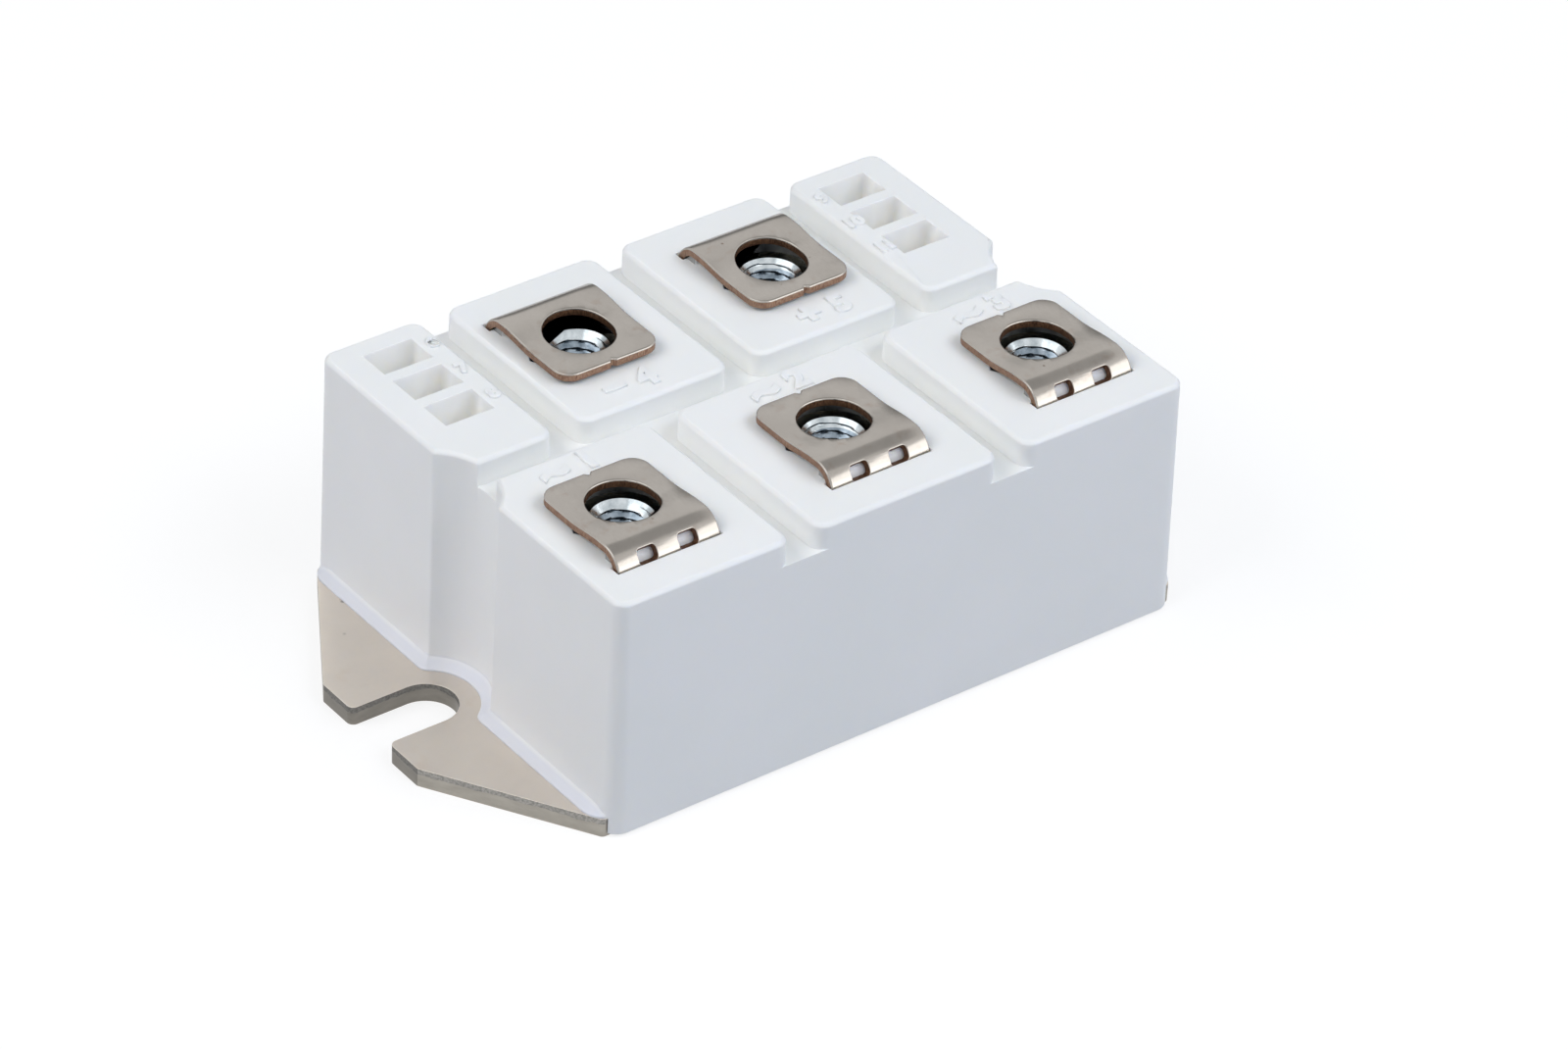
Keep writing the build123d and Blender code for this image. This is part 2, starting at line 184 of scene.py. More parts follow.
def dull_nickel():
    """Matt nickel plating, clouded, with a few dark pits and faint warm stains."""
    material, shader, place, tree = new_material("dull_nickel", (0.78, 0.72, 0.64), 1.0, 0.34)
    clouds = between(tree, noise(tree, place, 9, 4), 0.35, 0.65)
    colour = blended(tree, clouds, (0.755, 0.69, 0.615), (0.815, 0.745, 0.66))
    mottling = between(tree, noise(tree, place, 1.1, 5), 0.35, 0.7, 0.0, 0.3)
    colour = blended(tree, mottling, colour, (0.82, 0.74, 0.645))
    stains = between(tree, noise(tree, place, 3.5, 5), 0.62, 0.74, 0.0, 0.3)
    colour = blended(tree, stains, colour, (0.72, 0.6, 0.48))
    colour = blended(tree, speckles(tree, place, 2.4, 0.3), colour, (0.25, 0.21, 0.18))
    tree.links.new(colour, shader.inputs["Base Color"])
    grain = noise(tree, place, 0.3, 3)
    tree.links.new(between(tree, grain, 0.3, 0.7, 0.3, 0.38), shader.inputs["Roughness"])
    roughened(tree, shader, grain, 0.003)
    return material


def punched_edge(name, shade):
    """The plate's cut side: smooth up to a ragged line, torn above it. A shade below 1 darkens it
    all, as painted shade.
    """
    material, shader, place, tree = new_material(name, (0.4, 0.38, 0.35), 1.0, 0.4)
    wander = noise(tree, place, 1.6, 5)
    ragged = calculated(tree, "MULTIPLY_ADD", wander, 0.7 * mm, axis(tree, place, "Z"))
    torn = between(tree, ragged, (smooth_cut + 0.42) * mm, (smooth_cut + 0.5) * mm)
    flecks = noise(tree, place, 0.25, 4)
    flecked = between(tree, flecks, 0.35, 0.65)
    torn_colour = blended(tree, flecked, (0.24, 0.235, 0.22), (0.4, 0.385, 0.36))
    streaked = between(tree, noise(tree, place, 2.5, 4, (1, 1, 0.3)), 0.3, 0.7)
    smooth_colour = blended(tree, streaked, (0.32, 0.3, 0.265), (0.39, 0.365, 0.325))
    shaded = tree.nodes.new("ShaderNodeHueSaturation")
    shaded.inputs["Value"].default_value = shade
    tree.links.new(blended(tree, torn, smooth_colour, torn_colour), shaded.inputs["Color"])
    tree.links.new(shaded.outputs["Color"], shader.inputs["Base Color"])
    tree.links.new(between(tree, torn, 0, 1, 0.34, 0.6), shader.inputs["Roughness"])
    roughened(tree, shader, calculated(tree, "MULTIPLY", torn, flecks), 0.03)
    return material


plate = eased_copy("base_plate", "nickel_base_plate", lambda middle: plate_ease)
# The ends' faces and the slot walls take the cut side painted 0.6 darker, as shade.
for finish in (dull_nickel(), punched_edge("punched_side", 1.0), punched_edge("punched_end_painted_shade", 0.6)):
    plate.data.materials.append(finish)
for face in plate.data.polygons:
    in_painted_shade = abs(face.normal.x) > 0.95 or abs(face.center.y) < slot_reach * mm
    face.material_index = 0 if abs(face.normal.z) > 0.5 else 2 if in_painted_shade else 1
plate.modifiers["Rounded edges"].material = 0
finish_piece(plate, "plate_nickel", "base_plate")


# Circuit
# A ceramic plate with copper on both faces is soldered to the base plate. Six diode chips are
# soldered to its tracks, and copper jumpers join their tops to the other tracks.
def dress(material, *names):
    """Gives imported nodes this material."""
    for name in names:
        mesh = nodes[name].data
        mesh.materials.clear()
        mesh.materials.append(material)


def clouded_metal(name, dark, light, roughness, size):
    """Plain metal with soft clouds of tarnish and a fine grain."""
    material, shader, place, tree = new_material(name, light, 1.0, roughness)
    clouds = between(tree, noise(tree, place, size, 5), 0.35, 0.65)
    tree.links.new(blended(tree, clouds, dark, light), shader.inputs["Base Color"])
    grain = noise(tree, place, 0.25, 2)
    spread = between(tree, grain, 0.3, 0.7, roughness - 0.06, roughness + 0.06)
    tree.links.new(spread, shader.inputs["Roughness"])
    roughened(tree, shader, grain, 0.003)
    return material


def white_ceramic():
    """Fired alumina, off-white with a fine grain."""
    material, shader, place, tree = new_material("white_ceramic", (0.78, 0.77, 0.73), 0.0, 0.5)
    clouds = between(tree, noise(tree, place, 2, 4), 0.3, 0.7)
    colour = blended(tree, clouds, (0.74, 0.73, 0.69), (0.81, 0.8, 0.77))
    tree.links.new(colour, shader.inputs["Base Color"])
    roughened(tree, shader, noise(tree, place, 0.08, 2), 0.005)
    return material


def chip_top():
    """The bright metallised top of a silicon chip, with a faint speckle."""
    material, shader, place, tree = new_material("chip_metal", (0.46, 0.48, 0.5), 1.0, 0.3)
    grains = between(tree, noise(tree, place, 0.12, 2), 0.35, 0.65)
    colour = blended(tree, grains, (0.4, 0.42, 0.45), (0.54, 0.56, 0.58))
    tree.links.new(colour, shader.inputs["Base Color"])
    return material


track_copper = clouded_metal("track_copper", (0.5, 0.24, 0.14), (0.72, 0.4, 0.27), 0.34, 6)
solder_tin = clouded_metal("solder_tin", (0.42, 0.43, 0.45), (0.6, 0.61, 0.62), 0.42, 3)
chip_metal = chip_top()
dress(solder_tin, "substrate_solder")
dress(white_ceramic(), "substrate_ceramic")
dress(track_copper, "substrate_backing", "track_minus", "track_plus")
for phase in (1, 2, 3):
    dress(chip_metal, f"diode_upper_{phase}", f"diode_lower_{phase}")
    dress(track_copper, f"track_ac_{phase}", f"jumper_upper_{phase}", f"jumper_lower_{phase}")


# Gel and adhesive
# Clear silicone gel is poured over the circuit to keep it dry. A grey silicone bead glues the
# housing's rim to the plate.
def clear_gel():
    """Soft clear silicone with a faint haze of tiny bubbles."""
    material, shader, place, tree = new_material("clear_gel", (0.93, 0.95, 0.95), 0.0, 0.06)
    shader.inputs["Transmission Weight"].default_value = 1.0
    shader.inputs["IOR"].default_value = 1.41
    bubbles = speckles(tree, place, 1.6, 0.3)
    tree.links.new(between(tree, bubbles, 0, 1, 0.05, 0.4), shader.inputs["Roughness"])
    roughened(tree, shader, noise(tree, place, 6, 1), 0.03)
    return material


def grey_adhesive():
    """Matt grey silicone adhesive."""
    material, shader, place, tree = new_material("grey_adhesive", (0.5, 0.5, 0.49), 0.0, 0.55)
    clouds = between(tree, noise(tree, place, 1.5, 3), 0.3, 0.7)
    colour = blended(tree, clouds, (0.46, 0.46, 0.45), (0.55, 0.55, 0.54))
    tree.links.new(colour, shader.inputs["Base Color"])
    roughened(tree, shader, noise(tree, place, 0.5, 2), 0.02)
    return material


dress(clear_gel(), "silicone_gel")
dress(grey_adhesive(), "housing_bond")


# Housing
# One moulding of white glass-filled plastic, satin and a little translucent. It has drafted
# walls, six pads with grooves between them, a scoop at each end for a screwdriver, wells for the
# nuts and six empty pin pockets, and it stands on the plate with a bevelled foot.
foot_rim = 2.3
foot_lip = 2.5
foot_top = 3.6
foot_shadow = 3.2
end_wall = 36.2
scoop_half = 8.0
ceiling = 23.4
groove_floor = 25.4
pad_top = 28.4
slot_line = 18.85
slot_end = 9.8
well_floor = 18.0
well_wall = 5.8
well_rim = 6.2
pocket_centre = 29.15
pocket_half = 2.95
pocket_low_end = 8.75
pocket_high_end = 23.75
pocket_floor = 17.0
nut_places = [(-26.2, -13.6), (0.0, -13.6), (26.2, -13.6), (-12.3, 13.6), (12.3, 13.6)]


def from_nut(middle):
    """Distance in millimetres from the nearest nut's axis, seen from above."""
    return min(dist((middle.x, middle.y), place) for place in nut_places)


def by_pockets(middle):
    """Whether a place is on a pin pocket's wall or rim, seen from above."""
    margin = 0.2
    beside = abs(abs(middle.x) - pocket_centre) < pocket_half + margin
    return beside and pocket_low_end - margin < middle.y < pocket_high_end + margin


def housing_ease(middle):
    """Rounding radius in millimetres for a sharp edge of the moulding."""
    if middle.z < foot_rim or foot_lip < middle.z < foot_top:
        return 0.0
    if middle.z < foot_top:
        return 0.07
    if middle.z < ceiling or abs(middle.z - groove_floor) < 0.02:
        return 0.0
    if middle.z > pad_top - 0.1 and abs(middle.y) > slot_line and from_nut(middle) < slot_end:
        return 0.04
    if by_pockets(middle) or from_nut(middle) < well_rim:
        return 0.1
    return 0.16


def white_plastic(name, dark, light, glow, glow_depth):
    """Satin white plastic with faint clouds and few dark specks, painted a bluish shade at the
    ends' foot.
    """
    material, shader, place, tree = new_material(name, light, 0.0, 0.42)
    clouds = between(tree, noise(tree, place, 14, 3), 0.35, 0.65)
    colour = blended(tree, clouds, dark, light)
    outward = calculated(tree, "ABSOLUTE", axis(tree, place, "X"))
    past_wall = between(tree, outward, (end_wall - 0.3) * mm, (end_wall + 0.3) * mm)
    sideways = calculated(tree, "ABSOLUTE", axis(tree, place, "Y"))
    scoop_low, scoop_high = (scoop_half - 0.5) * mm, (scoop_half + 0.5) * mm
    in_scoop = between(tree, sideways, scoop_low, scoop_high, 1.0, 0.0)
    # Low on the end walls and in the scoops the colour is painted darker and bluer, as shade at the
    # foot.
    low, high = (foot_shadow - 0.3) * mm, (foot_shadow + 0.3) * mm
    near_plate = between(tree, axis(tree, place, "Z"), low, high, 1.0, 0.0)
    at_ends = calculated(tree, "MAXIMUM", past_wall, in_scoop)
    foot = calculated(tree, "MULTIPLY", near_plate, at_ends)
    colour = blended(tree, foot, colour, (0.78, 0.79, 0.83))
    colour = blended(tree, speckles(tree, place, 5.5, 0.06), colour, (0.5, 0.47, 0.42))
    tree.links.new(colour, shader.inputs["Base Color"])
    shader.inputs["Subsurface Weight"].default_value = glow
    shader.inputs["Subsurface Radius"].default_value = (1.0, 0.9, 0.75)
    shader.inputs["Subsurface Scale"].default_value = glow_depth * mm
    texture = noise(tree, place, 0.22, 2)
    tree.links.new(between(tree, texture, 0.3, 0.7, 0.38, 0.48), shader.inputs["Roughness"])
    roughened(tree, shader, texture, 0.006)
    return material


def painted_shade_plastic():
    """The same plastic painted grey as shade, for inside the nuts' wells and on the rib's ends."""
    material, shader, place, tree = new_material("painted_shade_plastic", (0.3, 0.3, 0.28), 0.0, 0.4)
    shade_mottle = between(tree, noise(tree, place, 1.5, 4), 0.3, 0.7)
    colour = blended(tree, shade_mottle, (0.2, 0.2, 0.19), (0.4, 0.4, 0.38))
    tree.links.new(colour, shader.inputs["Base Color"])
    return material


def pocket_plastic_painted_glow():
    """The same plastic in the pin pockets, painted lighter and given a faint glow, as the light
    that seeps through the thin walls.
    """
    dark, light = (0.975, 0.965, 0.925), (0.99, 0.98, 0.945)
    material = white_plastic("pocket_plastic_painted_glow", dark, light, 0.8, 4.0)
    shader = material.node_tree.nodes["Principled BSDF"]
    shader.inputs["Emission Color"].default_value = (1.0, 0.97, 0.9, 1)
    shader.inputs["Emission Strength"].default_value = 0.03
    return material


plastic = white_plastic("white_plastic", (0.88, 0.885, 0.865), (0.9, 0.9, 0.885), 0.4, 0.5)
housing = eased_copy("housing", "white_housing", housing_ease)
# The pockets' plastic is painted lighter with a faint glow, as the light through their thin walls.
for finish in (plastic, painted_shade_plastic(), pocket_plastic_painted_glow()):
    housing.data.materials.append(finish)
# Faces in the nuts' wells and on the rib's ends take the plastic painted grey, as shade.
for face in housing.data.polygons:
    middle = face.center / mm
    below_pads = middle.z < pad_top - 0.05
    rib_end = middle.z > pad_top + 0.05 and abs(face.normal.x) > 0.9
    if below_pads and middle.z > pocket_floor and by_pockets(middle):
        face.material_index = 2
    elif rib_end or below_pads and middle.z > well_floor and from_nut(middle) < well_wall:
        face.material_index = 1
finish_piece(housing, "housing_plastic", "housing")


# Raised marks
# The mould leaves low raised signs on the pads: the kind of current and a number for each
# terminal, and a number beside each pin pocket.
mark_height = 0.18
wave_size = 3.8
sign_size = 3.2
number_size = 2.8
small_size = 1.6
front_line = -4.2
rear_line = 4.6
pocket_lines = [21.75, 16.25, 10.75]


def raised_mark(words, height, centre):
    """Letters standing on a pad, rounded at their top edge, their feet sunk into the moulding."""
    letters = bpy.data.curves.new("letters", "FONT")
    letters.body = words
    letters.size = height / 0.7 * mm
    letters.align_x = "CENTER"
    letters.align_y = "CENTER"
    letters.extrude = mark_height * mm
    letters.offset = 0.05 * height * mm
    letters.bevel_depth = 0.08 * mm
    letters.bevel_resolution = 2
    shape = bpy.data.objects.new("letters", letters)
    collection.objects.link(shape)
    view = bpy.context.evaluated_depsgraph_get()
    mesh = bpy.data.meshes.new_from_object(shape.evaluated_get(view))
    bpy.data.objects.remove(shape)
    x, y = centre
    mesh.transform(Matrix.Translation((x * mm, y * mm, pad_top * mm)))
    return mesh


front_row = [x for x, y in nut_places[:3]]
signs = [("~", wave_size, (x - 1.7, front_line)) for x in front_row]
signs += [(str(1 + i), number_size, (x + 2.4, front_line)) for i, x in enumerate(front_row)]
signs += [("−", sign_size, (-14.0, rear_line)), ("4", number_size, (-10.2, rear_line))]
signs += [("+", sign_size, (10.7, rear_line)), ("5", number_size, (14.6, rear_line))]
signs += [(str(6 + i), small_size, (-24.9, y)) for i, y in enumerate(pocket_lines)]
signs += [(str(9 + i), small_size, (25.2, y)) for i, y in enumerate(pocket_lines)]
marks = bmesh.new()
for words, height, centre in signs:
    letter_mesh = raised_mark(words, height, centre)
    marks.from_mesh(letter_mesh)
    bpy.data.meshes.remove(letter_mesh)
bmesh.ops.remove_doubles(marks, verts=marks.verts, dist=0.001 * mm)
bmesh.ops.recalc_face_normals(marks, faces=marks.faces)
marks_mesh = bpy.data.meshes.new("raised_marks")
marks.to_mesh(marks_mesh)
marks.free()
marks_mesh.materials.append(plastic)
raised_marks = bpy.data.objects.new("raised_marks", marks_mesh)
collection.objects.link(raised_marks)
finish_piece(raised_marks, "housing_plastic")


# Nuts
# Five M6 hexagon nuts of bright zinc-plated steel lie loose in wells under the terminals. Each is
# turned from bar: chamfered and countersunk on top, with a cut thread. One is made, and Geometry
# Nodes sets it on the five places.
nut_height = 5.9
nut_flats = 10.0
nut_seat = 22.0
washer_face = 9.0
chamfer_slope = tan(radians(30))
countersink = 6.75
lower_countersink = 6.05
thread_inner = 5.0
thread_outer = 6.0
thread_pitch = 1.0
thread_cut = 1.15


def threaded_nut():
    """Mesh of one nut at the origin, its thread a helix cut into the bore."""
    around = 96
    steps = 66
    shape = bmesh.new()

    def ring(radius, height):
        """One ring of points; the radius and height may follow the angle."""
        points = []
        for index in range(around):
            angle = 2 * pi * index / around
            r = radius(angle) if callable(radius) else radius
            z = height(angle) if callable(height) else height
            points.append(shape.verts.new((r * cos(angle) * mm, r * sin(angle) * mm, z * mm)))
        return points

    def hexagon(angle):
        """Distance from the axis to the nut's side, with two corners along X."""
        from_flat = (angle + pi / 6) % (pi / 3) - pi / 6
        return nut_flats / 2 / cos(pi / 6 - abs(from_flat))

    def thread(height):
        """Bore radius at a height: the thread's groove, opened out by a countersink at each end."""

        def radius(angle):
            phase = (height / thread_pitch - angle / (2 * pi)) % 1
            cut = min(1.0, thread_cut * (1 - abs(2 * phase - 1)))
            groove = (thread_inner + (thread_outer - thread_inner) * cut) / 2
            opened_above = countersink / 2 - (nut_height - height)
            return max(groove, opened_above, lower_countersink / 2 - height)

        return radius

    def shoulder(angle):
        """Height at which the chamfer meets the nut's side."""
        return nut_height - max(0.0, hexagon(angle) - washer_face / 2) * chamfer_slope

    rings = [ring(hexagon, 0.0), ring(hexagon, shoulder), ring(washer_face / 2, nut_height)]
    for step in range(steps + 1):
        level = nut_height * (1 - step / steps)
        rings.append(ring(thread(level), level))
    for first, second in zip(rings, rings[1:] + rings[:1]):
        for index in range(around):
            after = (index + 1) % around
            shape.faces.new((first[index], first[after], second[after], second[index]))
    bmesh.ops.recalc_face_normals(shape, faces=shape.faces)
    mesh = bpy.data.meshes.new("threaded_nut")
    shape.to_mesh(mesh)
    shape.free()
    mesh.shade_smooth()
    mesh.set_sharp_from_angle(angle=radians(28))
    return mesh


def bright_zinc(name, dark, light):
    """Bluish zinc plating, bright, with soft clouds and faint turning marks."""
    material, shader, place, tree = new_material(name, light, 1.0, 0.16)
    clouds = between(tree, noise(tree, place, 1.2, 4), 0.35, 0.65)
    tree.links.new(blended(tree, clouds, dark, light), shader.inputs["Base Color"])
    turning = noise(tree, place, 0.25, 3, (1, 1, 0.5))
    tree.links.new(between(tree, turning, 0.3, 0.7, 0.12, 0.22), shader.inputs["Roughness"])
    roughened(tree, shader, turning, 0.004)
    return material


def nut_top_painted_dark():
    """The nut's flat top, turned smooth, painted dark as its reflection of the shaded underside of
    the tab.
    """
    material, shader, place, tree = new_material("nut_top_painted_dark", (0.12, 0.12, 0.1), 1.0, 0.2)
    top_mottle = between(tree, noise(tree, place, 1.5, 4), 0.35, 0.65)
    colour = blended(tree, top_mottle, (0.09, 0.095, 0.075), (0.17, 0.17, 0.15))
    tree.links.new(colour, shader.inputs["Base Color"])
    return material


def set_on_places(shape, places, name):
    """Geometry Nodes put the shape on each place; the result is one plain mesh."""
    seats = bpy.data.meshes.new("nut_seats")
    seats.from_pydata([(x * mm, y * mm, nut_seat * mm) for x, y in places], [], [])
    carrier = bpy.data.objects.new("nut_seats", seats)
    collection.objects.link(carrier)
    pattern = bpy.data.objects.new("nut_pattern", shape)
    collection.objects.link(pattern)
    tree = bpy.data.node_groups.new("Nuts on their seats", "GeometryNodeTree")
    add_socket = tree.interface.new_socket
    add_socket("Seats", in_out="INPUT", socket_type="NodeSocketGeometry")
    nut_socket = add_socket("Nut", in_out="INPUT", socket_type="NodeSocketObject")
    turn_socket = add_socket("Turn", in_out="INPUT", socket_type="NodeSocketFloat")
    add_socket("Nuts", in_out="OUTPUT", socket_type="NodeSocketGeometry")
    given = tree.nodes.new("NodeGroupInput")
    result = tree.nodes.new("NodeGroupOutput")
    to_points = tree.nodes.new("GeometryNodeMeshToPoints")
    info = tree.nodes.new("GeometryNodeObjectInfo")
    index = tree.nodes.new("GeometryNodeInputIndex")
    spin = tree.nodes.new("ShaderNodeCombineXYZ")
    put = tree.nodes.new("GeometryNodeInstanceOnPoints")
    solid = tree.nodes.new("GeometryNodeRealizeInstances")
    turn = calculated(tree, "MULTIPLY", index.outputs["Index"], given.outputs["Turn"])
    join = tree.links.new
    join(given.outputs["Seats"], to_points.inputs["Mesh"])
    join(given.outputs["Nut"], info.inputs["Object"])
    join(turn, spin.inputs["Z"])
    join(to_points.outputs["Points"], put.inputs["Points"])
    join(info.outputs["Geometry"], put.inputs["Instance"])
    join(spin.outputs["Vector"], put.inputs["Rotation"])
    join(put.outputs["Instances"], solid.inputs["Geometry"])
    join(solid.outputs["Geometry"], result.inputs["Nuts"])
    laying = carrier.modifiers.new("Nuts on their seats", "NODES")
    laying.node_group = tree
    laying[nut_socket.identifier] = pattern
    laying[turn_socket.identifier] = 2 * pi / 3
    view = bpy.context.evaluated_depsgraph_get()
    baked = bpy.data.meshes.new_from_object(carrier.evaluated_get(view))
    bpy.data.objects.remove(carrier)
    bpy.data.objects.remove(pattern)
    baked.name = name
    piece = bpy.data.objects.new(name, baked)
    collection.objects.link(piece)
    return piece


zinc = bright_zinc("bright_zinc", (0.42, 0.47, 0.5), (0.62, 0.67, 0.7))
# The thread's zinc is painted darker, as shade in the bore.
thread_zinc_painted_shade = bright_zinc("thread_zinc_painted_shade", (0.14, 0.18, 0.22), (0.34, 0.4, 0.46))
nuts = set_on_places(threaded_nut(), nut_places, "zinc_nuts")
nuts.data.materials.clear()
for finish in (zinc, nut_top_painted_dark(), thread_zinc_painted_shade):
    nuts.data.materials.append(finish)
# The nuts' flat tops take a dark painted reflection, and their threads a painted shade.
for face in nuts.data.polygons:
    middle = face.center / mm
    below_top = nut_seat + nut_height - middle.z
    on_top = below_top < 0.05 and face.normal.z > 0.99
    in_thread = below_top > 0.9 and from_nut(middle) < 3.1
    face.material_index = 1 if on_top else 2 if in_thread else 0
finish_piece(nuts, "nut_zinc", "nut_ac_1", "nut_ac_2", "nut_ac_3", "nut_minus", "nut_plus")


# Terminals
# Each terminal is punched from nickel-plated copper strip, so its cut edges show bare copper. Its
# leg comes up through a slot in the housing, and the tab is rolled over the nut last of all.
strip = 0.9
tab_width = 12.4
leg_width = 5.0
rear_leg_shift = 2.2
hole_radius = 3.7
hole_stretch = 0.2
window_line = 2.45
window_width = 2.25
window_turns = (radians(40), radians(76))
opening_half = 5.0
swan_radius = 16.0
roll_radius = 2.35
leg_radius = 1.35
row = 13.6
free_end = row - 6.2
swan_start = row + 0.4
swan_end = row + 3.8
leg_line = row + 7.65
knee_line = leg_line - 2.6
far_line = 5.65
flat_level = pad_top + 0.5 + strip / 2
crest_level = flat_level + 0.45
shoulder_level = ceiling - 3.0
knee_top = 13.1
knee_foot = 10.5
track_level = 4.03
track_reach = 4.0


def bend_route(corners, radii):
    """Straight and round stretches of the strip's middle line: start, way, curve and length."""
    stretches = []
    here = Vector(corners[0])
    for before, corner, after, radius in zip(corners, corners[1:], corners[2:], radii):
        way_in = (Vector(corner) - Vector(before)).normalized()
        way_out = (Vector(after) - Vector(corner)).normalized()
        turn = way_in.angle_signed(way_out) * -1
        reach = radius * tan(abs(turn) / 2)
        start = Vector(corner) - way_in * reach
        stretches.append((here, way_in, 0.0, (start - here).length))
        stretches.append((start, way_in, turn / (radius * abs(turn)), radius * abs(turn)))
        here = Vector(corner) + way_out * reach
    rest = Vector(corners[-1]) - here
    stretches.append((here, rest.normalized(), 0.0, rest.length))
    return stretches


def along(stretches, distance):
    """Point and upward normal on the middle line at a distance from its free end."""
    for index, (start, way, curve, length) in enumerate(stretches):
        if distance <= length or index == len(stretches) - 1:
            if curve == 0.0:
                point = start + way * distance
                heading = way
            else:
                angle = curve * distance
                side = Vector((-way.y, way.x))
                point = start + way * (sin(angle) / curve) + side * ((1 - cos(angle)) / curve)
                heading = way * cos(angle) + side * sin(angle)
            return point, Vector((-heading.y, heading.x))
        distance -= length


def rounded(corners, steps):
    """Outline through corners of (x, y, radius), each rounded in this many steps."""
    outline = []
    for index, (x, y, radius) in enumerate(corners):
        corner = Vector((x, y))
        if radius == 0.0:
            outline.append(corner)
            continue
        before = Vector(corners[index - 1][:2])
        after = Vector(corners[(index + 1) % len(corners)][:2])
        way_in = (corner - before).normalized()
        way_out = (after - corner).normalized()
        half = way_in.angle(way_out) / 2
        centre = corner + (way_out - way_in).normalized() * (radius / cos(half))
        start = corner - way_in * radius * tan(half) - centre
        sweep = way_in.angle_signed(way_out) * -1
        for step in range(steps + 1):
            outline.append(centre + Matrix.Rotation(sweep * step / steps, 2) @ start)
    return outline


def screw_hole():
    """Outline of the tab's hole, stretched a little along the tab."""
    around = 72
    middle = row - free_end
    outline = []
    for index in range(around):
        angle = 2 * pi * index / around
        stretch = hole_stretch if sin(angle) >= 0 else -hole_stretch
        y = middle + hole_radius * sin(angle) + stretch
        outline.append(Vector((hole_radius * cos(angle), y)))
    return outline


def window(line, roll_start):
    """Outline of one window in the roll."""
    left, right = line - window_width / 2, line + window_width / 2
    low, high = [roll_start + roll_radius * turn for turn in window_turns]
    corners = ((left, low), (right, low), (right, high), (left, high))
    return rounded([(x, y, 0.4) for x, y in corners], 4)


def terminal_blank(length, shoulder, leg_shift, roll_start):
    """The flat punched blank: tab with screw hole, nick and two windows, and the narrow leg."""
    half = tab_width / 2
    leg_left = leg_shift - leg_width / 2
    leg_right = leg_shift + leg_width / 2
    edge = [(-half, 0, 2.0), (-0.4, 0, 0.1), (0, 0.42, 0.12), (0.4, 0, 0.1), (half, 0, 2.0)]
    edge += [(half, shoulder, 0.4), (leg_right, shoulder, 0.0), (leg_right, length, 0.0)]
    edge += [(leg_left, length, 0.0), (leg_left, shoulder, 0.0), (-half, shoulder, 0.4)]
    windows = [window(line, roll_start) for line in (-window_line, window_line)]
    sheet = bmesh.new()
    rim = []
    for loop in [rounded(edge, 8), screw_hole(), *windows]:
        points = [sheet.verts.new((point.x, point.y, -strip / 2)) for point in loop]
        rim += [sheet.edges.new(pair) for pair in zip(points, points[1:] + points[:1])]
    bmesh.ops.triangle_fill(sheet, use_beauty=True, edges=rim)
    for face in sheet.faces:
        if face.normal.z > 0:
            face.normal_flip()
    lifted = bmesh.ops.extrude_face_region(sheet, geom=sheet.faces[:])
    for item in lifted["geom"]:
        if isinstance(item, bmesh.types.BMVert):
            item.co.z = strip / 2
    bmesh.ops.recalc_face_normals(sheet, faces=sheet.faces)
    return sheet


def ease_rims(sheet, roll_start, roll_end):
    """Rounds the blank's upper rims, those of the windows less than the rest."""
    window_rims, other_rims = [], []
    for edge in sheet.edges:
        first, second = edge.verts[0].co, edge.verts[1].co
        if edge.calc_face_angle(0.0) > radians(60) and first.z > 0 and second.z > 0:
            in_window = abs(first.x) < opening_half and roll_start < first.y < roll_end
            (window_rims if in_window else other_rims).append(edge)
    for some_rims, rounding in ((other_rims, 0.2), (window_rims, 0.08)):
        bmesh.ops.bevel(
            sheet,
            geom=some_rims,
            offset=rounding,
            segments=3,
            affect="EDGES",
            profile=0.5,
            material=0,
            clamp_overlap=False,
        )


def bend(sheet, stretches, side):
    """Bends the flat blank along the route; side is -1 for the front row and 1 for the rear."""
    total = 0.0
    for start, way, curve, length in stretches:
        steps = max(1, round(abs(curve) * length / radians(5)))
        for step in range(steps):
            cut = total + length * step / steps
            if cut > 0:
                bmesh.ops.bisect_plane(
                    sheet,
                    geom=sheet.verts[:] + sheet.edges[:] + sheet.faces[:],
                    dist=1e-5,
                    plane_co=(0, cut, 0),
                    plane_no=(0, 1, 0),
                )
        total += length
    for vert in sheet.verts:
        point, normal = along(stretches, vert.co.y)
        place = point + normal * vert.co.z
        vert.co = Vector((vert.co.x * mm, side * place.x * mm, place.y * mm))


